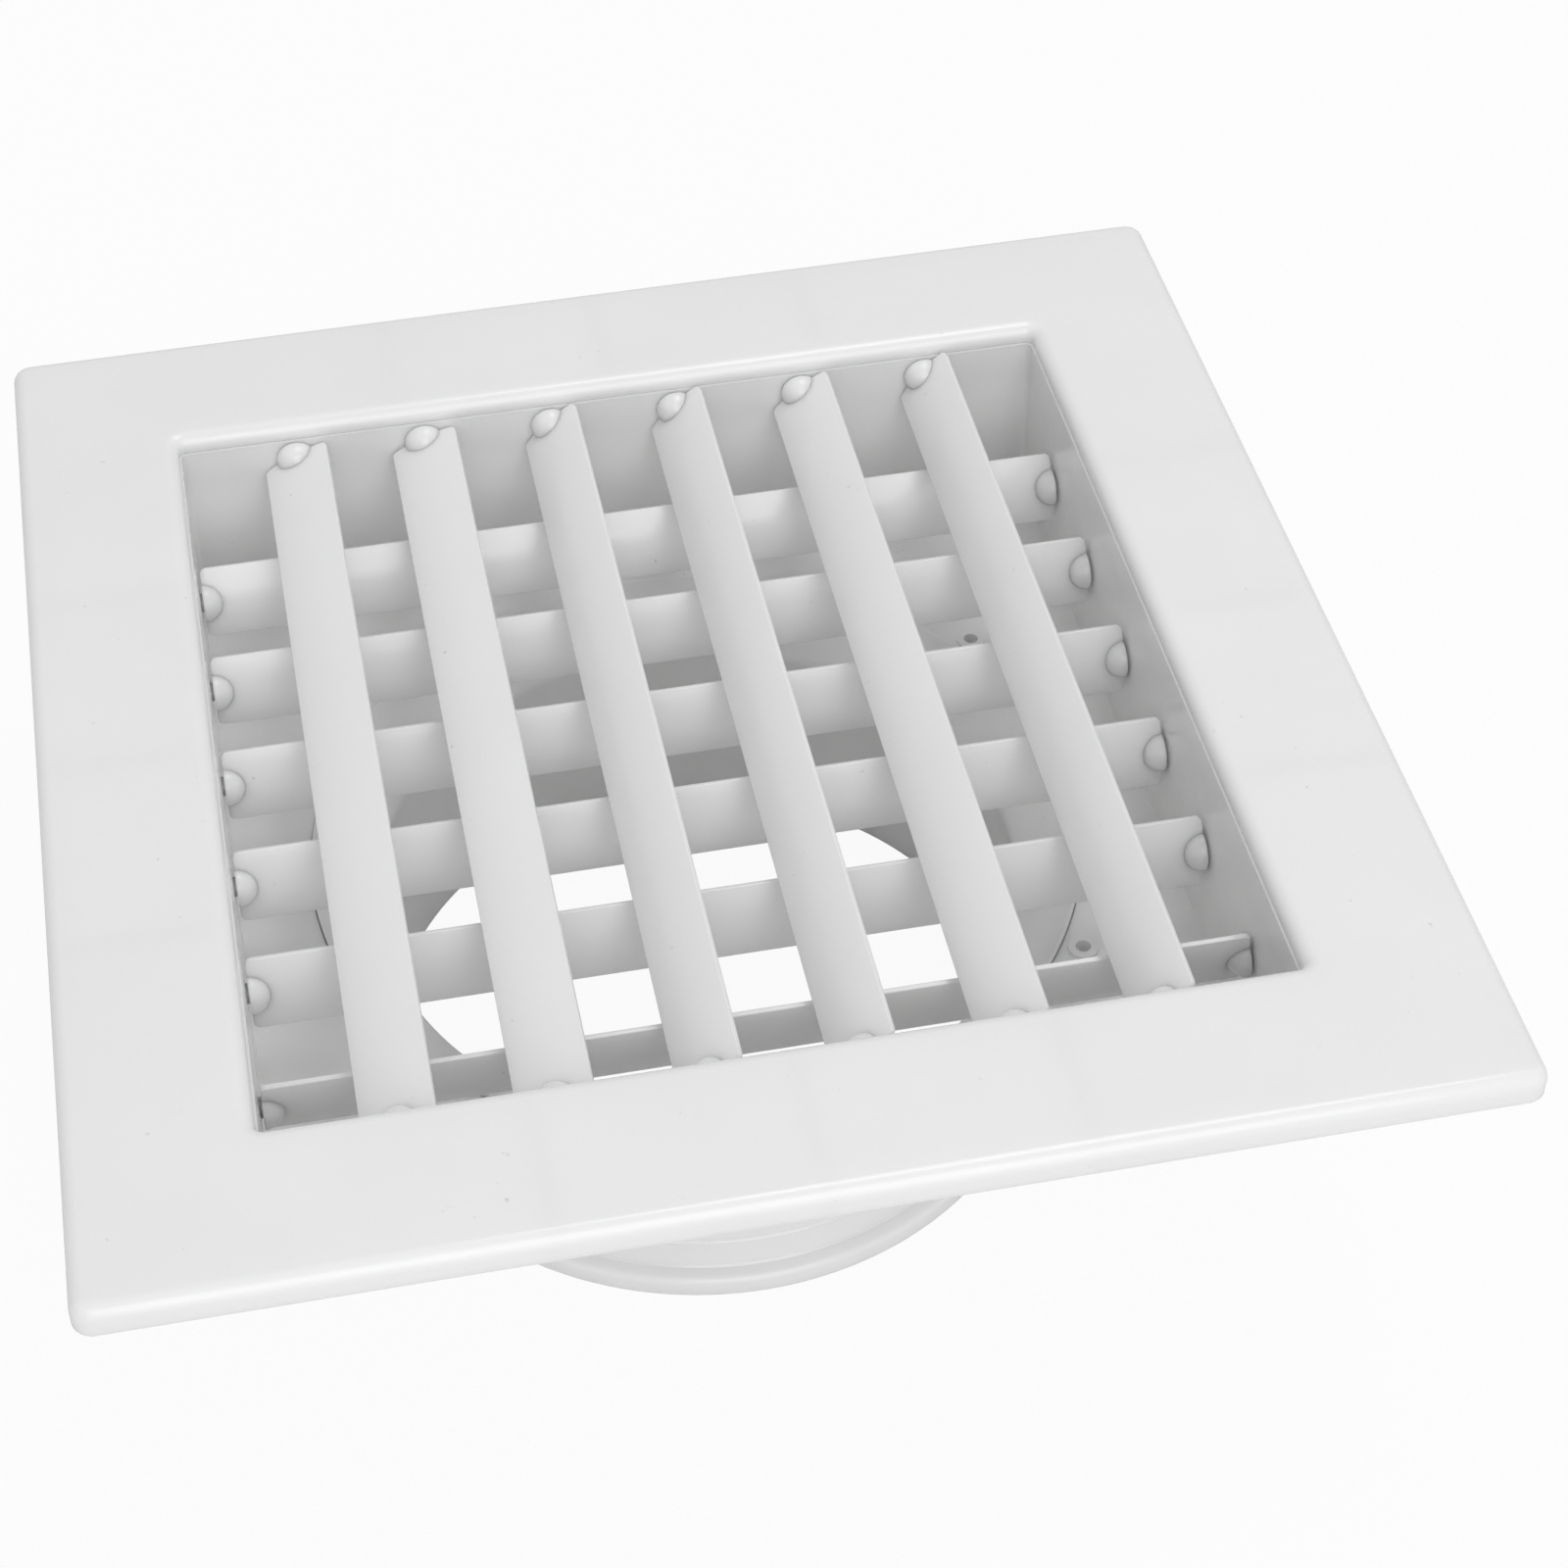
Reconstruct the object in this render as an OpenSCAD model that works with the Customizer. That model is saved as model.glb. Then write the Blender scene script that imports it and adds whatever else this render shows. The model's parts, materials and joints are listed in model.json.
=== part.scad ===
// Square ceiling air vent with two crossed rows of adjustable blades.
// A face frame is clipped over a box. The box carries six front blades, which
// run from front to back, and six rear blades, which run from side to side.
// A round duct collar is clipped into the floor of the box.
// The vent stands on the end of its collar with the face up, origin at the
// centre of the collar's end, +Z towards the room side.

/* [Face frame] */
// Width of the flange from the box's inside wall to the outer edge
border_w = 34.75; // [26:0.25:60]
// Height of the flange from the face to its back edge
face_h = 6.2; // [5:0.1:9]
// Thickness of the face plate
face_t = 2.4; // [1.8:0.1:3]
// Rounding of the outer edge of the face
edge_r = 2.8; // [1.5:0.1:4]
// Rounding of the flange's corners, seen from the front
corner_r = 3; // [2.5:0.1:12]
// Thickness of the rim that turns back round the flange
rim_t = 2.2; // [1.4:0.1:3]
// Rounding of the lip round the opening
lip_r = 3.2; // [1.5:0.1:4]
// Depth of the lip, from the face to the box's front edge
lip_depth = 4.1; // [4.1:0.1:6]
// Rounding of the opening's corners
lip_corner_r = 1.6; // [0.8:0.1:5]
// Thickness of the skirt that grips the outside of the box
skirt_t = 2; // [1.4:0.1:3]
// Depth of the skirt, from the face
skirt_depth = 14.5; // [14:0.1:20]
// Thickness of the ribs behind the flange
rib_t = 1.6; // [1:0.1:2.5]
// Height of the ribs behind the face plate
rib_h = 2.6; // [1:0.1:2.6]

/* [Box] */
// Distance from the inside wall of the box to the collar's flange
box_margin = 6.75; // [5.5:0.25:12]
// Ledge of the box's front edge that shows inside the lip
ledge = 0.4; // [0.2:0.1:1]
// Thickness of the walls of the box
wall_t = 2.2; // [1.8:0.1:3]
// Rounding inside the box's upright corners
box_corner_r = 1.2; // [0.6:0.1:3]
// Depth of the floor of the box, from the face
floor_depth = 45.5; // [43:0.5:70]
// Thickness of the floor
floor_t = 2.4; // [1.8:0.1:4]
// Angle of the fixing holes from the X axis, seen from the front
fixing_angle = 33.1; // [20:0.1:50]
// Diameter of a fixing hole
fixing_d = 3; // [2:0.1:4]
// Diameter of the boss round a fixing hole
boss_d = 6.2; // [5:0.1:7]
// Height of the boss above the floor
boss_up = 0.5; // [0.2:0.1:1]

/* [Clips] */
// Distance of a clip from the inside corner of the box
clip_inset = 38.85; // [36:0.05:42]
// Width of a clip's wedge
clip_w = 12; // [6:0.5:16]
// Height of a clip's wedge
clip_h = 3; // [2:0.1:3.5]
// How far a wedge stands out of the box
clip_out = 1.5; // [0.8:0.1:1.6]
// Depth of the flat front side of a wedge, from the face
clip_depth = 9.6; // [9:0.1:10]
// Clearance round a wedge in its window
clip_gap = 0.3; // [0.1:0.05:0.4]

/* [Duct collar] */
// Outer diameter of the collar
collar_d = 141; // [116:0.5:170]
// Thickness of the collar's wall
collar_t = 3.2; // [2:0.1:4]
// Distance from the face to the end of the collar
vent_h = 104; // [90:1:150]
// How far the bead stands out at the end of the collar
bead_out = 3.7; // [2.4:0.1:6]
// Height of the bead
bead_h = 5.5; // [3.5:0.1:8]
// Rounding of the bead's edges
bead_r = 1.3; // [0.5:0.1:1.6]
// Height of the small stop ring above the collar's end
ring_z = 13; // [10:0.5:30]
// Width of the stop ring along the collar
ring_h = 0.9; // [0.5:0.1:2]
// How far the stop ring stands out
ring_out = 0.4; // [0.2:0.1:1]
// How much farther out the mouth in the floor of the box reaches than the collar
mouth_out = 9.5; // [7:0.1:12]
// Thickness of the mouth's upper edge
mouth_t = 0.6; // [0.4:0.1:1.5]
// Height of the mouth above the floor
mouth_up = 0.8; // [0.4:0.1:2]
// Width of the flange behind the floor, outside the mouth
flange_w = 8.5; // [7.5:0.1:12]
// Thickness of the flange behind the floor
flange_t = 2.2; // [1.6:0.1:4]
// Number of snap hooks that hold the flange
hook_count = 6; // [3:1:8]
// Width of a snap hook
hook_w = 14; // [6:0.5:16]
// Thickness of a snap hook
hook_t = 1.8; // [1:0.1:2.5]
// How far the nose of a hook reaches under the flange
hook_in = 1; // [0.5:0.1:1.5]
// Height of the nose of a hook
hook_h = 1.8; // [1:0.1:3]

/* [Blades] */
// Width of a blade from edge to edge
chord = 15.2; // [12:0.1:16]
// Thickness of a blade in the middle
blade_t = 2.6; // [1.8:0.1:4]
// Thickness of a blade at its edges
blade_edge_t = 1; // [0.6:0.1:1.4]
// Rounding along the corners of a blade's flat edges
blade_edge_r = 0.2; // [0.1:0.05:0.3]
// Rounding of a blade's four corners
blade_corner_r = 1.3; // [0.8:0.1:4]
// Gap between the end of a blade and the wall of the box
end_gap = 0.55; // [0.3:0.05:1]
// Radius of the round dome on each end of a blade
dome_r = 4.3; // [3.5:0.1:5]
// Diameter of a pivot pin
pin_d = 4; // [3:0.1:4.6]
// Length of a pivot pin
pin_l = 2.5; // [2.2:0.1:2.7]
// Radial clearance of a pin in its hole
pin_gap = 0.05; // [0.02:0.01:0.1]
// Distance from the box's wall to the first front blade's pivots
front_margin = 24.75; // [18:0.05:27]
// Depth of the front blades' pivots, from the face
front_depth = 8.5; // [8.4:0.1:9]
// Distance from the box's wall to the first rear blade's pivots
rear_margin = 24.5; // [18:0.05:27]
// Depth of the rear blades' pivots, from the face
rear_depth = 25.6; // [25.2:0.1:34]

/* [Angle of each blade, from lying flat] */
// Angle of front blade 1, the leftmost
front_angle_1 = 26.4; // [0:0.1:180]
// Angle of front blade 2
front_angle_2 = 22.7; // [0:0.1:180]
// Angle of front blade 3
front_angle_3 = 42.7; // [0:0.1:180]
// Angle of front blade 4
front_angle_4 = 45.1; // [0:0.1:180]
// Angle of front blade 5
front_angle_5 = 38.9; // [0:0.1:180]
// Angle of front blade 6, the rightmost
front_angle_6 = 50.6; // [0:0.1:180]
// Angle of rear blade 1, the farthest
rear_angle_1 = 63.4; // [0:0.1:180]
// Angle of rear blade 2
rear_angle_2 = 70.6; // [0:0.1:180]
// Angle of rear blade 3
rear_angle_3 = 71.6; // [0:0.1:180]
// Angle of rear blade 4
rear_angle_4 = 70.7; // [0:0.1:180]
// Angle of rear blade 5
rear_angle_5 = 71.8; // [0:0.1:180]
// Angle of rear blade 6, the nearest
rear_angle_6 = 101.2; // [0:0.1:180]

/* [Hidden] */

$fn = 64;
front_angles = [front_angle_1, front_angle_2, front_angle_3,
    front_angle_4, front_angle_5, front_angle_6];
rear_angles = [rear_angle_1, rear_angle_2, rear_angle_3,
    rear_angle_4, rear_angle_5, rear_angle_6];

// A cut runs this far past the face that it leaves
over = 1;
// Clearance between two mouldings that slide together
fit_gap = 0.2;
// Least part of a rounding that is left beside another one
least_r = 0.1;

// Radii of the collar, its bead, its mouth and its flange
collar_r = collar_d / 2;
bore_wall_r = collar_r - collar_t;
bead_out_r = collar_r + bead_out;
mouth_r = collar_r + mouth_out;
hole_r = mouth_r + fit_gap;
flange_r = mouth_r + flange_w;
fixing_r = (hole_r + flange_r) / 2;

// Half widths of the box, the skirt round it and the flange
box_half = flange_r + box_margin;
box_out = box_half + wall_t;
lip_half = box_half + ledge;
seat_half = box_out + fit_gap;
skirt_half = seat_half + skirt_t;
face_half = box_half + border_w;
clip_x = box_half - clip_inset;
rib_x = box_half / 2;

// Heights above the collar's end
face_z = vent_h;
box_top = face_z - lip_depth;
floor_z = face_z - floor_depth;
floor_back = floor_z - floor_t;
flange_low = floor_back - flange_t;

// The mouth slopes inwards at 45 degrees from its upper edge
mouth_top = floor_z + mouth_up;
cone_r = mouth_r - mouth_t;
cone_low = mouth_top - (cone_r - bore_wall_r);

// Roundings, held within their walls
edge_round = min(edge_r, face_h / 2, corner_r - least_r);
rim_corner_r = max(corner_r - rim_t, least_r);
lip_round = min(lip_r, lip_depth);

// Blades and their pivot holes
bore_r = pin_d / 2 + pin_gap;
blade_half = box_half - end_gap;
blade_gaps = 5;
front_pitch = 2 * (box_half - front_margin) / blade_gaps;
rear_pitch = 2 * (box_half - rear_margin) / blade_gaps;

// Place of blade i, counted from 1, across a row with the given pitch
function row_place(i, pitch) = (i - 1 - blade_gaps / 2) * pitch;

// Square with round corners
module rounded_square(half, r) {
    square([2 * half, 2 * (half - r)], center = true);
    square([2 * (half - r), 2 * half], center = true);
    for (sx = [-1, 1], sy = [-1, 1])
        translate([sx * (half - r), sy * (half - r)]) circle(r = r);
}

// Upright prism on a square with round corners, from z0 up to z1
module block(half, r, z0, z1) {
    translate([0, 0, z0]) linear_extrude(height = z1 - z0) rounded_square(half, r);
}

// Square pad whose edge has the section given as a child. The section starts
// at x = 0, at the centre of the corner rounding r, and runs from z0 to z1.
module edged_pad(half, r, z0, z1) {
    for (sx = [-1, 1], sy = [-1, 1])
        translate([sx * (half - r), sy * (half - r), 0]) rotate_extrude() children();
    for (turn = [0, 90])
        rotate([90, 0, turn]) linear_extrude(height = 2 * (half - r), center = true) {
            for (side = [0, 1])
                mirror([side, 0]) translate([half - r, 0]) children();
            translate([r - half, z0]) square([2 * (half - r), z1 - z0]);
        }
}

// Section of the flange's edge, rounded towards the face
module flange_edge() {
    translate([0, -face_h]) square([corner_r, face_h - edge_round]);
    translate([0, -face_h]) square([corner_r - edge_round, face_h]);
    intersection() {
        translate([corner_r - edge_round, -edge_round]) circle(r = edge_round);
        translate([corner_r - edge_round, -edge_round]) square(edge_round);
    }
}

// Section of the space inside the lip, flared out towards the face
module lip_space(depth) {
    difference() {
        translate([0, -depth]) square([lip_corner_r + lip_round, depth + over]);
        translate([lip_corner_r + lip_round, -lip_round]) circle(r = lip_round);
        translate([lip_corner_r, -depth - over])
            square([lip_round + over, depth + over - lip_round]);
    }
}

// Repeats its child on the four sides, and left and right of each middle
module on_each_side(offset_x) {
    for (turn = [0, 90, 180, 270], side = [-1, 1])
        rotate([0, 0, turn]) translate([side * offset_x, 0, 0]) children();
}

// Window in the skirt for one wedge, on the side towards -Y
module clip_window() {
    translate([-clip_w / 2 - clip_gap, -skirt_half - over, -clip_depth - clip_h - clip_gap])
        cube([clip_w + 2 * clip_gap, skirt_t + 2 * over, clip_h + 2 * clip_gap]);
}

// Wedge on the box: flat towards the face, sloping away behind
module clip_wedge() {
    translate([-clip_w / 2, -box_out, -clip_depth]) rotate([90, 0, 90])
        linear_extrude(height = clip_w)
            polygon([[over, 0], [-clip_out, 0], [-clip_out, -clip_h / 3],
                [0, -clip_h], [over, -clip_h]]);
}

module face_frame() {
    rib_l = face_half - rim_t - skirt_half + 2 * over;
    color("whitesmoke") translate([0, 0, face_z]) difference() {
        union() {
            difference() {
                edged_pad(face_half, corner_r, -face_h, 0) flange_edge();
                block(face_half - rim_t, rim_corner_r, -face_h - over, -face_t);
            }
            block(skirt_half, box_corner_r + wall_t + skirt_t, -skirt_depth, -face_t / 2);
            // Ribs behind the flange, square to the opening
            on_each_side(rib_x)
                translate([-rib_t / 2, -face_half + rim_t - over, -face_t - rib_h])
                    cube([rib_t, rib_l, rib_h + over]);
            for (turn = [0, 90, 180, 270])
                rotate([0, 0, turn])
                    translate([-rib_t / 2, -face_half + rim_t - over, -face_t - rib_h])
                        cube([rib_t, rib_l, rib_h + over]);
        }
        block(seat_half, box_corner_r + wall_t, -skirt_depth - over, -lip_depth);
        edged_pad(lip_half, lip_corner_r, -lip_depth - over, over)
            lip_space(lip_depth + over);
        on_each_side(clip_x) clip_window();
    }
}

// Holes for the pivots of one row, right through two opposite walls
module pivot_holes(pitch, depth) {
    for (i = [1 : blade_gaps + 1])
        translate([row_place(i, pitch), 0, face_z - depth]) rotate([90, 0, 0])
            cylinder(r = bore_r, h = 2 * box_out + 2 * over, center = true);
}

// Repeats its child at the four fixing holes
module at_fixings() {
    for (sx = [-1, 1], sy = [-1, 1])
        translate([sx * fixing_r * cos(fixing_angle), sy * fixing_r * sin(fixing_angle), 0])
            children();
}

// The fixing holes, through the floor and the collar's flange
module fixing_holes() {
    at_fixings() translate([0, 0, flange_low - over])
        cylinder(d = fixing_d, h = flange_t + floor_t + boss_up + 2 * over);
}

// Snap hook behind the floor: a short stem with a nose that slopes inwards
module snap_hook() {
    stem_r = flange_r + fit_gap;
    nose_top = flange_low - fit_gap;
    translate([0, hook_w / 2, 0]) rotate([90, 0, 0]) linear_extrude(height = hook_w)
        polygon([[stem_r, floor_back + over], [stem_r, nose_top],
            [stem_r - hook_in, nose_top], [stem_r, nose_top - hook_h],
            [stem_r + hook_t, nose_top - hook_h], [stem_r + hook_t, floor_back + over]]);
}

module plenum_box() {
    color("whitesmoke") difference() {
        union() {
            difference() {
                block(box_out, box_corner_r + wall_t, floor_back, box_top);
                block(box_half, box_corner_r, floor_z, box_top + over);
            }
            translate([0, 0, face_z]) on_each_side(clip_x) clip_wedge();
            at_fixings() translate([0, 0, floor_back + floor_t / 2])
                cylinder(d = boss_d, h = floor_t / 2 + boss_up);
            for (i = [0 : hook_count - 1])
                rotate([0, 0, i * 360 / hook_count]) snap_hook();
        }
        pivot_holes(front_pitch, front_depth);
        rotate([0, 0, 90]) pivot_holes(rear_pitch, rear_depth);
        translate([0, 0, floor_back - over])
            cylinder(r = hole_r, h = floor_t + 2 * over, $fn = 128);
        fixing_holes();
    }
}

// Section of the collar's wall, from its end up to its mouth in the box
module collar_section() {
    polygon([[bore_wall_r, 0], [collar_r, 0], [collar_r, cone_low],
        [collar_r + flange_low - cone_low, flange_low], [flange_r, flange_low],
        [flange_r, floor_back], [mouth_r, floor_back], [mouth_r, mouth_top],
        [cone_r, mouth_top], [bore_wall_r, cone_low]]);
}

// Section of the bead, with rounded edges
module bead_section() {
    bead_w = bead_out + over;
    translate([collar_r - over, 0]) square([bead_w - bead_r, bead_h]);
    translate([collar_r - over, bead_r]) square([bead_w, bead_h - 2 * bead_r]);
    for (z = [bead_r, bead_h - bead_r])
        translate([bead_out_r - bead_r, z]) circle(r = bead_r, $fn = 24);
}

module duct_collar() {
    color("whitesmoke") difference() {
        union() {
            rotate_extrude($fn = 128) collar_section();
            rotate_extrude($fn = 128) bead_section();
            rotate_extrude($fn = 128)
                translate([collar_r - over, ring_z]) square([ring_out + over, ring_h]);
        }
        fixing_holes();
    }
}

// Section of a blade: two shallow arcs between thin flat edges with round corners
module blade_section() {
    arc_half = chord / 2 - blade_edge_r;
    bulge = (blade_t - blade_edge_t) / 2;
    arc_r = (arc_half * arc_half + bulge * bulge) / (2 * bulge);
    intersection() {
        translate([0, blade_t / 2 - arc_r]) circle(r = arc_r, $fn = 256);
        translate([0, arc_r - blade_t / 2]) circle(r = arc_r, $fn = 256);
        square([2 * arc_half, blade_t], center = true);
    }
    for (side = [-1, 1])
        translate([side * arc_half, 0]) {
            square([2 * blade_edge_r, blade_edge_t - 2 * blade_edge_r], center = true);
            for (up = [-1, 1])
                translate([0, up * (blade_edge_t / 2 - blade_edge_r)])
                    circle(r = blade_edge_r, $fn = 16);
        }
}

// One blade lying flat, with its pivot axis along Y through the origin
module blade() {
    intersection() {
        rotate([90, 0, 0])
            linear_extrude(height = 2 * blade_half, center = true) blade_section();
        linear_extrude(height = 2 * blade_t, center = true) {
            square([chord, 2 * (blade_half - blade_corner_r)], center = true);
            square([chord - 2 * blade_corner_r, 2 * blade_half], center = true);
            for (sx = [-1, 1], sy = [-1, 1])
                translate([sx * (chord / 2 - blade_corner_r), sy * (blade_half - blade_corner_r)])
                    circle(r = blade_corner_r, $fn = 32);
        }
    }
    for (end = [-1, 1]) {
        intersection() {
            translate([0, end * blade_half, 0]) sphere(r = dome_r);
            translate([0, end * (blade_half - dome_r), 0])
                cube([2 * dome_r + over, 2 * dome_r, 2 * dome_r + over], center = true);
        }
        translate([0, end * (blade_half + pin_l / 2 - over / 2), 0]) rotate([90, 0, 0])
            cylinder(d = pin_d, h = pin_l + over, center = true);
    }
}

// Front blade i, with its right-hand edge raised
module front_blade(i) {
    color("white") translate([row_place(i, front_pitch), 0, face_z - front_depth])
        rotate([0, -front_angles[i - 1], 0]) blade();
}

// Rear blade i, with its far edge raised
module rear_blade(i) {
    color("white") translate([0, -row_place(i, rear_pitch), face_z - rear_depth])
        rotate([rear_angles[i - 1], 0, 0]) rotate([0, 0, 90]) blade();
}

face_frame();
plenum_box();
duct_collar();
front_blade(1);  // front_blade_1
front_blade(2);  // front_blade_2
front_blade(3);  // front_blade_3
front_blade(4);  // front_blade_4
front_blade(5);  // front_blade_5
front_blade(6);  // front_blade_6
rear_blade(1);  // rear_blade_1
rear_blade(2);  // rear_blade_2
rear_blade(3);  // rear_blade_3
rear_blade(4);  // rear_blade_4
rear_blade(5);  // rear_blade_5
rear_blade(6);  // rear_blade_6
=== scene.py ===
# %% [markdown]
# # A ceiling air vent in white plastic
# The real vent is a handful of mouldings: a square frame with a soft rolled edge, a box that clips
# into it, a round collar for the duct, and two crossed rows of blades that turn on small pins.
# The solids in the frame already say where everything is. What this lesson adds is what a mould
# leaves behind: rounded edges, smooth curves, faint marks and the sheen of the plastic.
# All lengths below are written in millimetres, as on a drawing, and made metres in one place.

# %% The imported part
import json
import bmesh
import bpy
import mathutils
import numpy as np
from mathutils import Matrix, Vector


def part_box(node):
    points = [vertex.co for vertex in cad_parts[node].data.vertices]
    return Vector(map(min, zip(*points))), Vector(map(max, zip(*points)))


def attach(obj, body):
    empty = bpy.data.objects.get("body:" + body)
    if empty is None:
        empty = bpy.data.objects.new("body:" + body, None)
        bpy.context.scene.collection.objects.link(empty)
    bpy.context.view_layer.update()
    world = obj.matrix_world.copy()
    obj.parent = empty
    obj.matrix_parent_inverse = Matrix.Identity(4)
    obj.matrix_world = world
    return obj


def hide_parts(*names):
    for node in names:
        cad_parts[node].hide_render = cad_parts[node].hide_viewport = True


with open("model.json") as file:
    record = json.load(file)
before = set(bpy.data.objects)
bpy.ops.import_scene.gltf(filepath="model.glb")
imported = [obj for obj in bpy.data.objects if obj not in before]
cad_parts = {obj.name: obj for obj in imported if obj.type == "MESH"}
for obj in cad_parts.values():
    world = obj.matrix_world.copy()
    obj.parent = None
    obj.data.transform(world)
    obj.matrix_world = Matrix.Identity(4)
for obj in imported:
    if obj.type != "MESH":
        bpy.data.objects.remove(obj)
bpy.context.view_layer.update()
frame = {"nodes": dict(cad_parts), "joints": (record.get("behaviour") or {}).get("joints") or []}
joints = {joint["name"]: joint for joint in frame["joints"]}

# %% [markdown]
# ## The camera
# The photograph looks down on the face from the front, a little from the left. A camera with a
# long lens stands about 70 cm away. A small lens shift, and not a turn, puts the vent in its place
# in the square picture, because the picture was cut out of a wider one.

# %% Camera
camera_data = bpy.data.cameras.new("camera")
camera = bpy.data.objects.new("camera", camera_data)
bpy.context.scene.collection.objects.link(camera)
camera.location = (-0.07983, -0.46992, 0.56223)
camera.rotation_euler = np.radians((47.4724, 1.3530, -10.2530))
camera_data.sensor_width = 36
camera_data.lens = 76.161
camera_data.shift_x = 0.07756
camera_data.shift_y = -0.11735
bpy.context.scene.camera = camera
print("camera at", tuple(round(value, 3) for value in camera.location))

# %% [markdown]
# ## Turning numbers into meshes
# Every new piece here is one idea: a closed outline carried along a path. Written as arrays, that
# is a grid of points, with one row for each step along the path and one column for each point of
# the outline. The faces then only depend on how many rows and columns there are.

# %% Mesh helpers
def grid_faces(rows, columns, close_rows=False, close_columns=True):
    """Quads of a grid: point (r, c) joins (r, c+1), (r+1, c+1) and (r+1, c); a closed way wraps round."""
    r = np.arange(rows if close_rows else rows - 1)
    c = np.arange(columns if close_columns else columns - 1)
    r, c = (part.ravel() for part in np.meshgrid(r, c, indexing="ij"))
    next_r = (r + 1) % rows
    next_c = (c + 1) % columns
    return np.stack([r * columns + c, r * columns + next_c,
                     next_r * columns + next_c, next_r * columns + c], axis=1)


def cap_faces(first, count, centre, turn):
    """Triangles from the points first to first + count - 1, round a loop, to one centre point."""
    loop = first + np.arange(count)
    ahead = first + (np.arange(count) + 1) % count
    middle = np.full(count, centre)
    return np.stack([loop, ahead, middle] if turn else [ahead, loop, middle], axis=1)


def join_shells(shells):
    """One list of points and one of faces from several (points, list of face arrays)."""
    points = np.concatenate([shell[0] for shell in shells])
    faces = []
    start = 0
    for shell_points, face_arrays in shells:
        for array in face_arrays:
            faces.extend((array + start).tolist())
        start += len(shell_points)
    return points, faces


def new_object(name, shells, sharp_degrees=35):
    """A mesh object at the origin from shells in millimetres, smooth except at edges sharper than that."""
    points, faces = join_shells(shells)
    mesh = bpy.data.meshes.new(name)
    mesh.from_pydata((points / 1000).tolist(), [], faces)
    mesh.shade_smooth()
    mesh.set_sharp_from_angle(angle=np.radians(sharp_degrees))
    piece = bpy.data.objects.new(name, mesh)
    bpy.context.scene.collection.objects.link(piece)
    return piece


def arc(centre, radius, start, end, steps):
    """Points of a circle's arc: centre + radius times (cos, sin) of angles from start to end degrees."""
    angle = np.radians(np.linspace(start, end, steps + 1))
    return np.asarray(centre) + radius * np.stack([np.cos(angle), np.sin(angle)], axis=1)


print("helpers ready")

# %% [markdown]
# ## Plastic
# The vent is white ABS. Close up it isn't one flat white: the melt leaves slow clouds in the
# colour, the mould a very fine orange peel, and handling a little grey dust and a few scuffs.
# Each of these is a noise at its own scale, in Object coordinates, which are metres here, so a
# pattern of a given size on the real part has that size in the shader too.

# %% Plastic materials
def white_plastic(name, colour, roughness, grain=0.02, cloud=0.012, speck=0.35):
    """A satin white: colour clouded by slow noise, grey specks where a fine noise peaks, and grain as bump."""
    material = bpy.data.materials.new(name)
    material.use_nodes = True
    nodes = material.node_tree.nodes
    links = material.node_tree.links
    shader = nodes["Principled BSDF"]
    place = nodes.new("ShaderNodeTexCoord")

    slow = nodes.new("ShaderNodeTexNoise")
    slow.inputs["Scale"].default_value = 28
    slow.inputs["Detail"].default_value = 4
    links.new(place.outputs["Object"], slow.inputs["Vector"])
    clouds = nodes.new("ShaderNodeValToRGB")
    clouds.color_ramp.elements[0].position = 0.30
    clouds.color_ramp.elements[1].position = 0.72
    clouds.color_ramp.elements[0].color = (*[value * (1 - cloud) for value in colour], 1)
    clouds.color_ramp.elements[1].color = (*[value * (1 + cloud) for value in colour], 1)
    links.new(slow.outputs["Fac"], clouds.inputs["Fac"])

    fine = nodes.new("ShaderNodeTexNoise")
    fine.inputs["Scale"].default_value = 420
    fine.inputs["Detail"].default_value = 3
    links.new(place.outputs["Object"], fine.inputs["Vector"])
    specks = nodes.new("ShaderNodeValToRGB")
    specks.color_ramp.elements[0].position = 0.735
    specks.color_ramp.elements[1].position = 0.80
    specks.color_ramp.elements[0].color = (0, 0, 0, 1)
    specks.color_ramp.elements[1].color = (speck, speck, speck, 1)
    links.new(fine.outputs["Fac"], specks.inputs["Fac"])
    dirty = nodes.new("ShaderNodeMix")
    dirty.data_type = "RGBA"
    dirty.inputs["B"].default_value = (0.30, 0.29, 0.27, 1)
    links.new(specks.outputs["Color"], dirty.inputs["Factor"])
    links.new(clouds.outputs["Color"], dirty.inputs["A"])
    links.new(dirty.outputs["Result"], shader.inputs["Base Color"])

    wear = nodes.new("ShaderNodeTexNoise")
    wear.inputs["Scale"].default_value = 90
    wear.inputs["Detail"].default_value = 5
    links.new(place.outputs["Object"], wear.inputs["Vector"])
    gloss = nodes.new("ShaderNodeMapRange")
    gloss.inputs["From Min"].default_value = 0.35
    gloss.inputs["From Max"].default_value = 0.75
    gloss.inputs["To Min"].default_value = roughness - 0.03
    gloss.inputs["To Max"].default_value = roughness + 0.07
    links.new(wear.outputs["Fac"], gloss.inputs["Value"])
    links.new(gloss.outputs["Result"], shader.inputs["Roughness"])

    peel = nodes.new("ShaderNodeTexNoise")
    peel.inputs["Scale"].default_value = 1500
    peel.inputs["Detail"].default_value = 2
    links.new(place.outputs["Object"], peel.inputs["Vector"])
    bump = nodes.new("ShaderNodeBump")
    bump.inputs["Strength"].default_value = grain
    bump.inputs["Distance"].default_value = 0.0003
    links.new(peel.outputs["Fac"], bump.inputs["Height"])
    links.new(bump.outputs["Normal"], shader.inputs["Normal"])

    shader.inputs["IOR"].default_value = 1.5
    shader.inputs["Subsurface Weight"].default_value = 0.5
    shader.inputs["Subsurface Radius"].default_value = (1.0, 0.97, 0.92)
    shader.inputs["Subsurface Scale"].default_value = 0.003
    shader.inputs["Specular IOR Level"].default_value = 0.5
    return material


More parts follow.
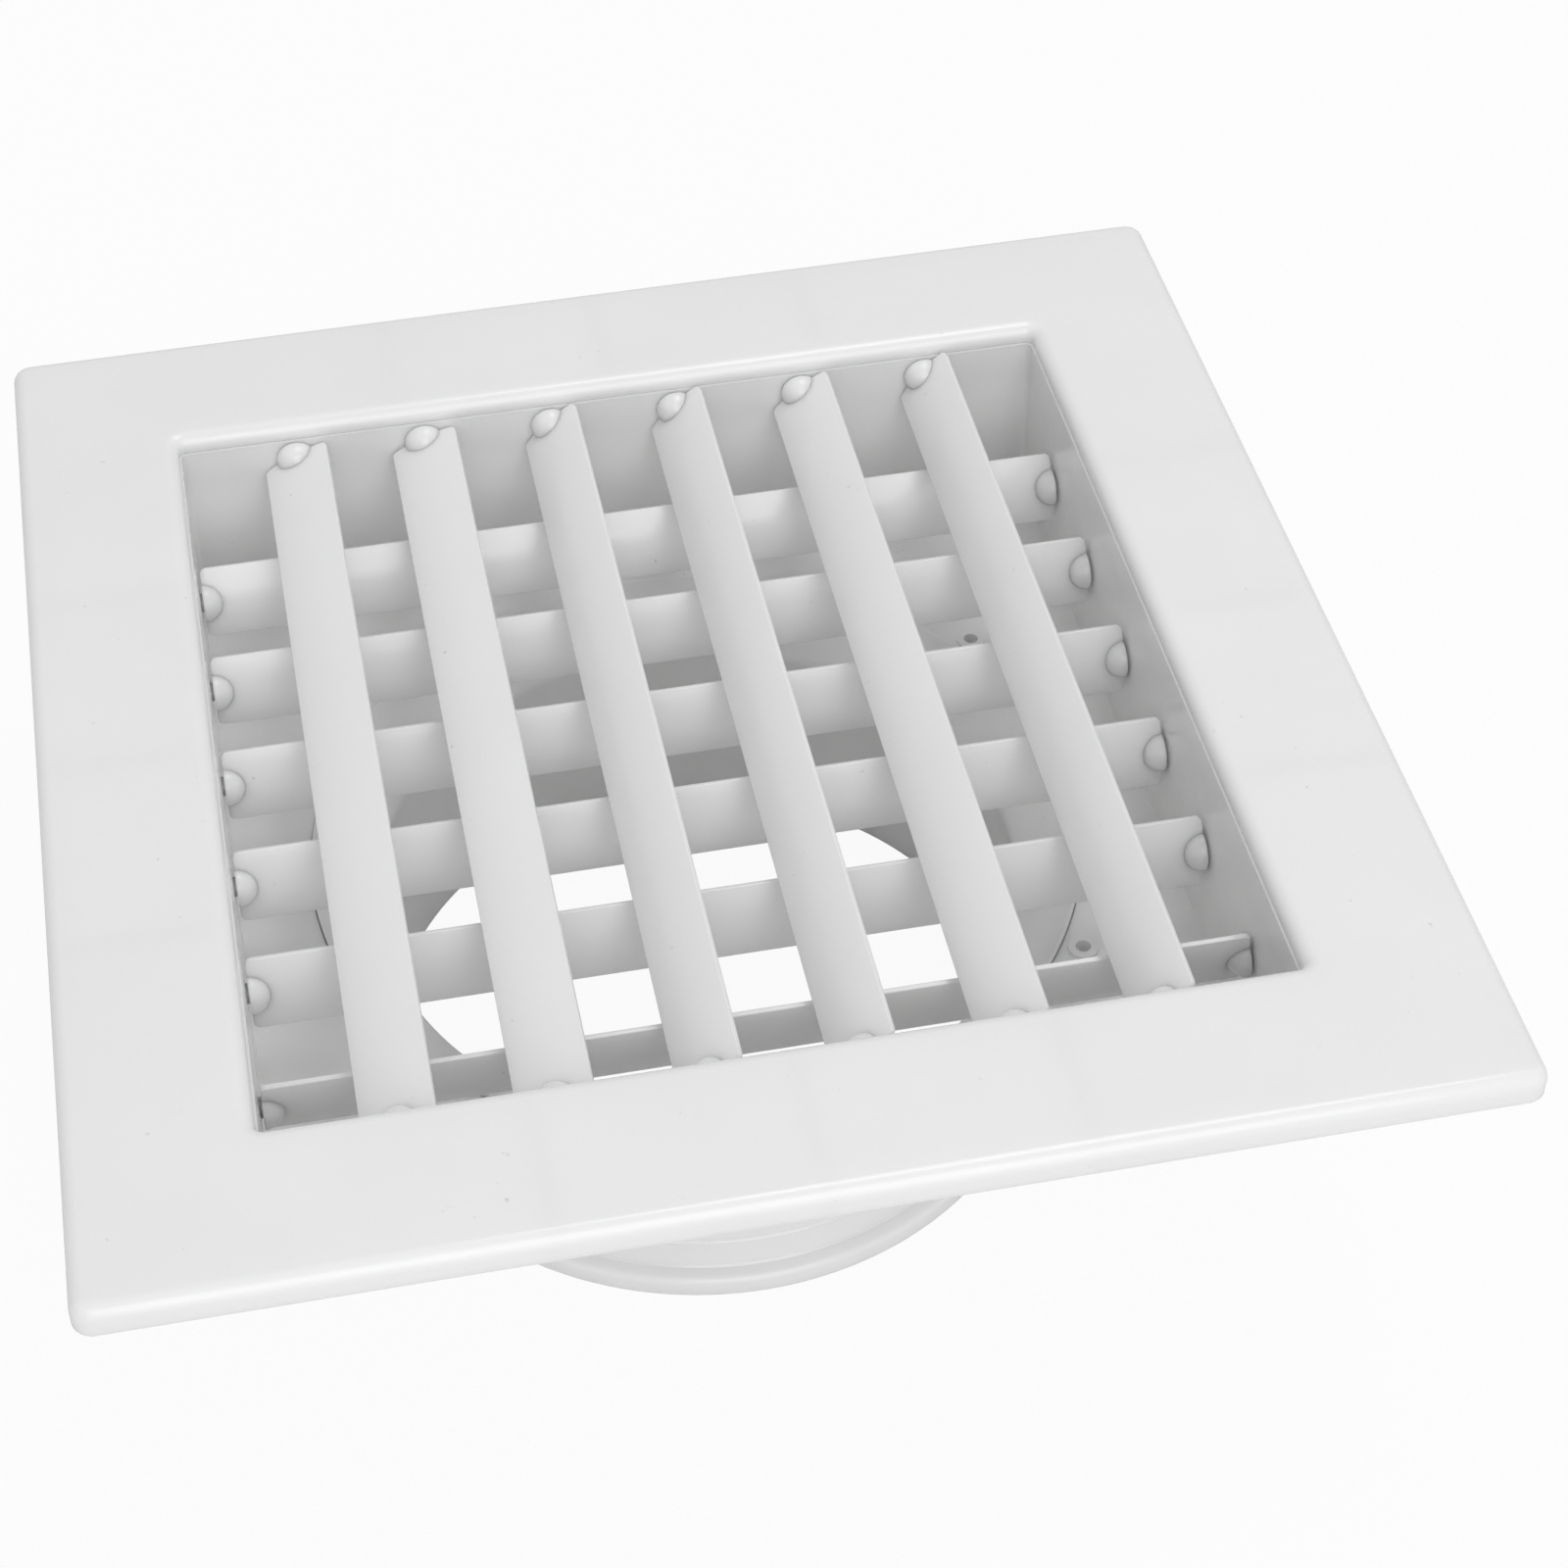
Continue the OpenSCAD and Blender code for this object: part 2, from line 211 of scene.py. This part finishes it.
frame_plastic = white_plastic("frame plastic", (0.88, 0.88, 0.88), 0.16, grain=0.01)
box_plastic = white_plastic("box plastic", (0.88, 0.88, 0.88), 0.20, grain=0.01)
blade_plastic = white_plastic("blade plastic", (0.88, 0.88, 0.88), 0.14, grain=0.008)
print("materials", [material.name for material in bpy.data.materials])

# %% [markdown]
# ## The blades
# A blade is a slim lens in section: two shallow arcs that meet in a thin rounded edge. Both ends
# carry a small round dome, cut flat towards the wall, and a pin. A turned profile makes dome and
# pin in one go, and the lens is an outline carried along a straight line, drawn in near its ends
# so that its corners are round when seen from above.

# %% Blade sizes and outline
blade_half_length = 94.7
blade_half_chord = 7.6
blade_half_thickness = 1.3
edge_half = 0.5
edge_corner = 0.18
dome_radius = 4.3
pin_radius = 2.0
pin_length = 2.5
corner_radius = 1.3


def blade_outline(steps=26):
    """Closed loop (chord, thickness): the top arc, a flat edge with two small corners, the bottom arc and
    the other edge. The arcs' radius follows from chord and rise: r = (c * c + h * h) / (2 * h)."""
    flat = blade_half_chord - edge_corner
    rise = blade_half_thickness - edge_half
    big = (blade_half_chord ** 2 + rise * rise) / (2 * rise)
    lean = np.degrees(np.arcsin(flat / big))
    top = arc((0, blade_half_thickness - big), big, 90 - lean, 90 + lean, steps)
    level = top[-1, 1] - edge_corner
    upper = arc((-flat, level), edge_corner, 90, 180, 5)
    lower = upper[::-1] * (1, -1)
    left = np.concatenate([upper[1:], lower[:-1]])
    return np.concatenate([top, left, -top, -left])


outline = blade_outline()
print("points in the outline", len(outline))

# %% Blade body and ends
def rounding(distance, radius):
    """How far a corner of that radius draws in, at a distance from its end: r - sqrt(r^2 - (r - d)^2)."""
    into = np.clip(radius - distance, 0, radius)
    return radius - np.sqrt(radius * radius - into * into)


def blade_body():
    """The outline at each station along the blade, its chord drawn in at the rounded corners and the
    whole of it drawn in by a soft edge at the very end; the ends are closed with fans."""
    soft = 0.25
    reach = blade_half_length - 0.04
    from_end = np.concatenate([soft * (1 - np.cos(np.linspace(0, np.pi / 2, 5))),
                               np.linspace(0.35, corner_radius, 6)])
    middle = np.linspace(-reach + 4, reach - 4, 24)
    stations = np.concatenate([-reach + from_end, middle, reach - from_end[::-1]])
    distance = reach - np.abs(stations)
    drawn = rounding(distance, soft)
    chord = 1 - (rounding(distance, corner_radius) + drawn) / blade_half_chord
    thick = 1 - drawn / blade_half_thickness
    points = np.stack([outline[None, :, 0] * chord[:, None],
                       np.repeat(stations[:, None], len(outline), axis=1),
                       outline[None, :, 1] * thick[:, None]], axis=2).reshape(-1, 3)
    count = len(outline)
    last = (len(stations) - 1) * count
    points = np.concatenate([points, [(0, -reach, 0), (0, reach, 0)]])
    return points, [grid_faces(len(stations), count),
                    cap_faces(0, count, len(points) - 2, True),
                    cap_faces(last, count, len(points) - 1, False)]


def blade_end(side, steps=48):
    """Dome and pin turned about the blade's axis: each point of the profile is (radius, distance along)."""
    along = blade_half_length
    dome = arc((along, 0), dome_radius, 178, 92, 20)
    profile = np.concatenate([
        np.stack([dome[:, 1], dome[:, 0]], axis=1),
        [(dome_radius - 0.02, along - 0.12), (dome_radius - 0.14, along)],
        [(pin_radius, along), (pin_radius, along + pin_length - 0.3),
         (pin_radius - 0.3, along + pin_length)]])
    angle = np.linspace(0, 2 * np.pi, steps, endpoint=False)
    points = np.stack([profile[:, None, 0] * np.cos(angle)[None, :],
                       side * np.repeat(profile[:, None, 1], steps, axis=1),
                       profile[:, None, 0] * np.sin(angle)[None, :]], axis=2).reshape(-1, 3)
    last = (len(profile) - 1) * steps
    ends = [(0, side * profile[0, 1], 0), (0, side * profile[-1, 1], 0)]
    points = np.concatenate([points, ends])
    faces = [grid_faces(len(profile), steps),
             cap_faces(0, steps, len(points) - 2, True),
             cap_faces(last, steps, len(points) - 1, False)]
    if side > 0:
        faces = [array[:, ::-1] for array in faces]
    return points, [array[:, ::-1] for array in faces]


print("blade body points", len(blade_body()[0]))

# %% [markdown]
# ## Each blade at its own angle
# Someone has turned every blade a little differently. A joint's range says how: it starts where
# the blade lies flat, so the blade's angle at rest is how far it can still turn back.

# %% Blades in place
def place_blade(points, joint_name):
    """Points (chord, along, thickness) of a blade lying flat, turned and moved to its joint."""
    joint = joints[joint_name]
    angle = np.radians(-joint["range_deg"][0])
    centre = np.array(joint["pos_m"]) * 1000
    if abs(joint["axis"][1]) > 0.5:
        chord = np.array([np.cos(angle), 0, np.sin(angle)])
        along = np.array([0, 1, 0])
    else:
        chord = np.array([0, np.cos(angle), np.sin(angle)])
        along = np.array([-1, 0, 0])
    thickness = np.cross(chord, along)
    return centre + points @ np.stack([chord, along, thickness])


def make_blade(row, number):
    """One blade as one object: its body and its two ends, riding on the body of the same name."""
    node = f"{row}_blade_{number}"
    shells = []
    for points, faces in (blade_body(), blade_end(-1), blade_end(1)):
        shells.append((place_blade(points, f"{row}_pivot_{number}"), faces))
    piece = new_object(f"{row}_blade_skin_{number}", shells)
    piece.data.materials.append(blade_plastic)
    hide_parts(node)
    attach(piece, node)
    return piece


blades = [make_blade(row, number) for row in ("front", "rear") for number in range(1, 7)]
print("blades", len(blades), "faces each", len(blades[0].data.polygons))

# %% [markdown]
# ## The face frame
# The frame is one outline, the section through its border, carried round a square. Only the
# corners need care: the outer edge turns round a radius of its own, and so does the lip, so each
# point of the section brings its own half width and its own corner radius.

# %% A section carried round a square
def square_path(half, radius, corner_steps=10, side_steps=14):
    """Points round a square of that half width with round corners, as (x, y), for arrays of both values.
    Side k runs straight from one corner's end to the next one's start, in equal steps."""
    half = np.atleast_1d(np.asarray(half, float))[:, None]
    radius = np.atleast_1d(np.asarray(radius, float))[:, None]
    rows = []
    for quarter in range(4):
        turn = np.radians(90 * quarter + np.linspace(0, 90, corner_steps + 1))[None, :]
        sign_x = np.cos(np.radians(90 * quarter + 45)) * np.sqrt(2)
        sign_y = np.sin(np.radians(90 * quarter + 45)) * np.sqrt(2)
        corner_x = sign_x * (half - radius) + radius * np.cos(turn)
        corner_y = sign_y * (half - radius) + radius * np.sin(turn)
        share = np.linspace(0, 1, side_steps + 1)[1:-1][None, :]
        next_turn = np.radians(90 * (quarter + 1))
        next_x = np.cos(next_turn + np.pi / 4) * np.sqrt(2) * (half - radius) + radius * np.cos(next_turn)
        next_y = np.sin(next_turn + np.pi / 4) * np.sqrt(2) * (half - radius) + radius * np.sin(next_turn)
        side_x = corner_x[:, -1:] * (1 - share) + next_x * share
        side_y = corner_y[:, -1:] * (1 - share) + next_y * share
        rows.append(np.stack([np.concatenate([corner_x, side_x], axis=1),
                              np.concatenate([corner_y, side_y], axis=1)], axis=2))
    return np.concatenate(rows, axis=1)


face_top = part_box("face_frame")[1][2] * 1000
print("face at", round(face_top, 2))


def square_ring(section):
    """A shell from rows (half width, depth below the face, corner radius), closed both ways."""
    section = np.asarray(section, float)
    flat = square_path(section[:, 0], section[:, 2])
    height = np.repeat(face_top + section[:, 1][:, None], flat.shape[1], axis=1)
    points = np.concatenate([flat, height[:, :, None]], axis=2)
    return points.reshape(-1, 3), [grid_faces(len(section), flat.shape[1], close_rows=True)]


# %% Section of the frame
def with_radius(points, radius):
    """(half width, depth) points with a corner radius each: a number, or a rule of the half width."""
    points = np.asarray(points, float)
    values = radius(points[:, 0]) if callable(radius) else np.full(len(points), float(radius))
    return np.column_stack([points, values])


lip_wall = 95.65
lip_radius = 3.2
outer = 130.0
outer_round = 3.0
seat = 97.65
skirt = 99.65


def lip_corner(half):
    """The lip's corner keeps one centre, so its radius grows with the half width."""
    return half - lip_wall + 1.6


def outer_corner(half):
    """The outer edge's corner keeps its centre too."""
    return half - outer + 4.0


lip = arc((lip_wall + lip_radius, -lip_radius), lip_radius, 180, 90, 14)
edge = arc((outer - outer_round, -outer_round), outer_round, 90, 0, 12)
section = np.concatenate([
    with_radius([(lip_wall, -4.1), (lip_wall, -3.6)], lip_corner),
    with_radius(lip, lip_corner),
    with_radius([(103, 0), (109, 0), (116, 0), (122, 0)], 4.0),
    with_radius(edge, outer_corner),
    with_radius([(outer, -4.6), (outer, -6.0), (outer - 0.06, -6.14), (outer - 0.2, -6.2),
                 (127.95, -6.2), (127.8, -6.05), (127.8, -2.7)], outer_corner),
    with_radius([(127.5, -2.4)], 1.5),
    with_radius([(skirt + 0.4, -2.4), (skirt, -2.8), (skirt, -14.3), (skirt - 0.2, -14.5)], 5.4),
    with_radius([(seat + 0.2, -14.5), (seat, -14.3), (seat, -4.1)], 3.4)])
frame_piece = new_object("face_frame_skin", [square_ring(section)])
frame_piece.data.materials.append(frame_plastic)
print("frame faces", len(frame_piece.data.polygons))

# %% [markdown]
# ## Windows and ribs behind the face
# The skirt behind the opening grips the box, and its windows snap over wedges on the box. Such
# holes don't fit on a carried outline, so they are cut afterwards with a Boolean, as a toolmaker
# cuts them into the mould. The ribs are bars with a rounded foot, sunk a little into the frame.

# %% Cutting and bars
def cut_away(piece, cutter):
    """Subtracts the cutter's mesh from the piece and keeps the result as the piece's own mesh."""
    modifier = piece.modifiers.new("cut", "BOOLEAN")
    modifier.object = cutter
    modifier.solver = "EXACT"
    graph = bpy.context.evaluated_depsgraph_get()
    result = bpy.data.meshes.new_from_object(piece.evaluated_get(graph))
    piece.modifiers.remove(modifier)
    piece.data = result
    bpy.data.objects.remove(cutter)


def turned(points, quarter):
    """Points turned about the vertical axis by a number of quarter turns."""
    angle = np.pi / 2 * quarter
    spin = np.array([[np.cos(angle), -np.sin(angle), 0], [np.sin(angle), np.cos(angle), 0], [0, 0, 1]])
    return points @ spin.T


def bar(low, high, soft=0.0):
    """A bar along y: its section in x and z, with corners rounded by soft, carried between two caps."""
    low, high = np.asarray(low, float), np.asarray(high, float)
    if soft:
        loops = [arc((x, z), soft, start, start + 90, 4) for x, z, start in (
            (high[0] - soft, high[2] - soft, 0), (low[0] + soft, high[2] - soft, 90),
            (low[0] + soft, low[2] + soft, 180), (high[0] - soft, low[2] + soft, 270))]
        loop = np.concatenate(loops)
    else:
        loop = np.array([(high[0], high[2]), (low[0], high[2]), (low[0], low[2]), (high[0], low[2])])
    count = len(loop)
    ends = np.array([low[1], high[1]])
    points = np.stack([np.tile(loop[:, 0], 2), np.repeat(ends, count), np.tile(loop[:, 1], 2)], axis=1)
    middle = (low + high) / 2
    points = np.concatenate([points, [(middle[0], low[1], middle[2]), (middle[0], high[1], middle[2])]])
    return points, [grid_faces(2, count), cap_faces(0, count, 2 * count, True),
                    cap_faces(count, count, 2 * count + 1, False)]


clip_place = 56.4
clip_width = 12.0
window_shells = []
rib_shells = []
for quarter in range(4):
    for side in (-1, 1):
        points, faces = bar((side * clip_place - 6.3, -101, face_top - 12.9),
                            (side * clip_place + 6.3, -96.4, face_top - 9.3))
        window_shells.append((turned(points, quarter), faces))
    for place in (-47.625, 0, 47.625):
        points, faces = bar((place - 0.8, -128.2, face_top - 5.0), (place + 0.8, -99.4, face_top - 2.1), 0.25)
        rib_shells.append((turned(points, quarter), faces))
cut_away(frame_piece, new_object("window_cutters", window_shells))
ribs = new_object("rib_bars", rib_shells)
ribs.data.materials.append(frame_plastic)
print("windows", len(window_shells), "ribs", len(rib_shells))

# %% The frame rides
for piece in (frame_piece, ribs):
    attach(piece, "housing")
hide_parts("face_frame")
frame_piece.data.shade_smooth()
frame_piece.data.set_sharp_from_angle(angle=np.radians(35))

# %% [markdown]
# ## The box
# The box has flat walls with many small features: pivot holes, wedges, bosses and hooks. Its solid
# already has them all. A copy of it is cleaned up: doubled points are merged, the triangles of
# each flat face become one face again, and a small bevel breaks every sharp edge, because no
# moulded edge is perfectly sharp and it is the bevel that catches the light.

# %% Softened copy of a solid
def softened_copy(node, name, width_mm, sharp_degrees=35):
    """A merged copy of a node's triangles, with flat faces joined and sharp edges bevelled."""
    source = frame["nodes"][node]
    shape = bmesh.new()
    shape.from_mesh(source.data)
    bmesh.ops.remove_doubles(shape, verts=shape.verts, dist=1e-6)
    bmesh.ops.dissolve_limit(shape, angle_limit=np.radians(0.6), verts=shape.verts, edges=shape.edges)
    mesh = bpy.data.meshes.new(name)
    shape.to_mesh(mesh)
    shape.free()
    mesh.materials.clear()
    piece = bpy.data.objects.new(name, mesh)
    bpy.context.scene.collection.objects.link(piece)
    mesh.shade_smooth()
    mesh.set_sharp_from_angle(angle=np.radians(sharp_degrees))
    bevel = piece.modifiers.new("soft edges", "BEVEL")
    bevel.width = width_mm / 1000
    bevel.segments = 2
    bevel.limit_method = "ANGLE"
    bevel.angle_limit = np.radians(sharp_degrees)
    bevel.harden_normals = True
    return piece


box_piece = softened_copy("plenum_box", "plenum_box_skin", 0.2)
box_piece.data.materials.append(box_plastic)
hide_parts("plenum_box")
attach(box_piece, "housing")
print("box faces", len(box_piece.data.polygons))

# %% [markdown]
# ## The duct collar
# The collar is round, so it is an outline turned about the vertical axis, in fine steps so that
# its rim stays smooth. Four fixing holes go through its flange and are cut afterwards.

# %% Collar
def turned_shell(profile, steps=192):
    """Each (radius, height) point of a closed outline, carried round a circle."""
    profile = np.asarray(profile, float)
    angle = np.linspace(0, 2 * np.pi, steps, endpoint=False)
    points = np.stack([profile[:, None, 0] * np.cos(angle)[None, :],
                       profile[:, None, 0] * np.sin(angle)[None, :],
                       np.repeat(profile[:, None, 1], steps, axis=1)], axis=2)
    return points.reshape(-1, 3), [grid_faces(len(profile), steps, close_rows=True)]


pipe = 70.5
bore = 67.3
bead = 74.2
mouth = 80.0
mouth_inner = 79.4
mouth_top = 59.3
slope_low = mouth_top - (mouth_inner - bore)
flange_top = 56.1
flange_low = 53.9
flange = 88.5
collar_profile = np.concatenate([
    [(bore, 0.5), (bore + 0.5, 0)],
    arc((bead - 1.3, 1.3), 1.3, -90, 0, 6), arc((bead - 1.3, 4.2), 1.3, 0, 90, 6),
    [(pipe + 0.4, 5.5), (pipe, 5.9), (pipe, 12.9), (pipe + 0.15, 13.0), (pipe + 0.4, 13.2),
     (pipe + 0.4, 13.7), (pipe + 0.15, 13.9), (pipe, 14.0), (pipe, slope_low),
     (pipe + flange_low - slope_low - 0.3, flange_low - 0.3), (pipe + flange_low - slope_low, flange_low),
     (flange - 0.3, flange_low), (flange, flange_low + 0.3), (flange, flange_top - 0.3),
     (flange - 0.3, flange_top), (mouth, flange_top), (mouth, mouth_top - 0.2),
     (mouth - 0.12, mouth_top - 0.04), (mouth - 0.25, mouth_top), (mouth_inner + 0.1, mouth_top),
     (mouth_inner - 0.1, mouth_top - 0.08)],
    [(bore + 1.2, slope_low + 1.2), (bore + 0.5, slope_low + 0.38), (bore + 0.12, slope_low - 0.35),
     (bore, slope_low - 1.2)]])
collar_piece = new_object("duct_collar_skin", [turned_shell(collar_profile)], 30)
hole_angle = np.linspace(0, 2 * np.pi, 32, endpoint=False)
hole_shells = []
for x in (-70.66, 70.66):
    for y in (-46.06, 46.06):
        ring = np.stack([x + 1.5 * np.cos(hole_angle), y + 1.5 * np.sin(hole_angle)], axis=1)
        points = np.concatenate([np.column_stack([ring, np.full(32, 52.0)]),
                                 np.column_stack([ring, np.full(32, 58.0)]), [(x, y, 52.0), (x, y, 58.0)]])
        hole_shells.append((points, [grid_faces(2, 32), cap_faces(0, 32, 64, False), cap_faces(32, 32, 65, True)]))
cut_away(collar_piece, new_object("hole_cutters", hole_shells))
collar_piece.data.shade_smooth()
collar_piece.data.set_sharp_from_angle(angle=np.radians(30))
collar_piece.data.materials.append(box_plastic)
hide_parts("duct_collar")
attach(collar_piece, "housing")
print("collar faces", len(collar_piece.data.polygons))

# %% [markdown]
# ## Floor, light and background
# The photograph is a plain one on white. The world gives an even grey light from all round, with
# white only where the camera looks at it directly, and two soft lamps give the blades and the
# rolled edge their slow shading. The floor shows nearly white and keeps a faint shadow.

# %% Floor
floor_mesh = bpy.data.meshes.new("floor")
floor_mesh.from_pydata([(-4, -4, 0), (4, -4, 0), (4, 4, 0), (-4, 4, 0)], [], [(0, 1, 2, 3)])
floor = bpy.data.objects.new("floor", floor_mesh)
bpy.context.scene.collection.objects.link(floor)
floor_paint = bpy.data.materials.new("floor paint")
floor_paint.use_nodes = True
paint_nodes = floor_paint.node_tree.nodes
paint_links = floor_paint.node_tree.links
paint_shader = paint_nodes["Principled BSDF"]
paint_shader.inputs["Base Color"].default_value = (0.8, 0.8, 0.8, 1)
paint_shader.inputs["Roughness"].default_value = 0.9
glow = paint_nodes.new("ShaderNodeEmission")
glow.inputs["Color"].default_value = (1, 1, 1, 1)
glow.inputs["Strength"].default_value = 1.0
seen = paint_nodes.new("ShaderNodeLightPath")
share = paint_nodes.new("ShaderNodeMath")
share.operation = "MULTIPLY"
share.inputs[1].default_value = 0.93
mix = paint_nodes.new("ShaderNodeMixShader")
paint_links.new(seen.outputs["Is Camera Ray"], share.inputs[0])
paint_links.new(share.outputs["Value"], mix.inputs["Fac"])
paint_links.new(paint_shader.outputs["BSDF"], mix.inputs[1])
paint_links.new(glow.outputs["Emission"], mix.inputs[2])
paint_links.new(mix.outputs["Shader"], paint_nodes["Material Output"].inputs["Surface"])
floor_mesh.materials.append(floor_paint)

# %% World
world = bpy.data.worlds.new("studio")
bpy.context.scene.world = world
world.use_nodes = True
world_nodes = world.node_tree.nodes
world_links = world.node_tree.links
around = world_nodes["Background"]
around.inputs["Color"].default_value = (1, 1, 1, 1)
world_path = world_nodes.new("ShaderNodeLightPath")
world_strength = world_nodes.new("ShaderNodeMapRange")
world_strength.inputs["To Min"].default_value = 0.6
world_strength.inputs["To Max"].default_value = 1.0
world_links.new(world_path.outputs["Is Camera Ray"], world_strength.inputs["Value"])
world_links.new(world_strength.outputs["Result"], around.inputs["Strength"])


# %% Lamps
def soft_lamp(name, place, target, size, watts):
    """A square area lamp of that size in metres, aimed from its place at a target."""
    data = bpy.data.lights.new(name, "AREA")
    data.shape = "SQUARE"
    data.size = size
    data.energy = watts
    lamp = bpy.data.objects.new(name, data)
    bpy.context.scene.collection.objects.link(lamp)
    place, target = np.array(place, float), np.array(target, float)
    back = (place - target) / np.linalg.norm(place - target)
    right = np.cross((0, 0, 1), back)
    right = right / np.linalg.norm(right)
    up = np.cross(back, right)
    matrix = np.eye(4)
    matrix[:3, 0], matrix[:3, 1], matrix[:3, 2], matrix[:3, 3] = right, up, back, place
    lamp.matrix_world = mathutils.Matrix(matrix.tolist())
    return lamp


soft_lamp("front lamp", (0.1, -1.5, 1.15), (0, 0, 0.08), 1.1, 8)
soft_lamp("low lamp", (0.0, -1.6, 0.35), (0, 0, 0.05), 0.8, 2)
soft_lamp("top lamp", (0.25, 0.15, 1.15), (0, 0, 0.1), 0.45, 2.0)
bpy.context.scene.view_settings.view_transform = "Standard"
print("lamps", [light.name for light in bpy.data.lights])
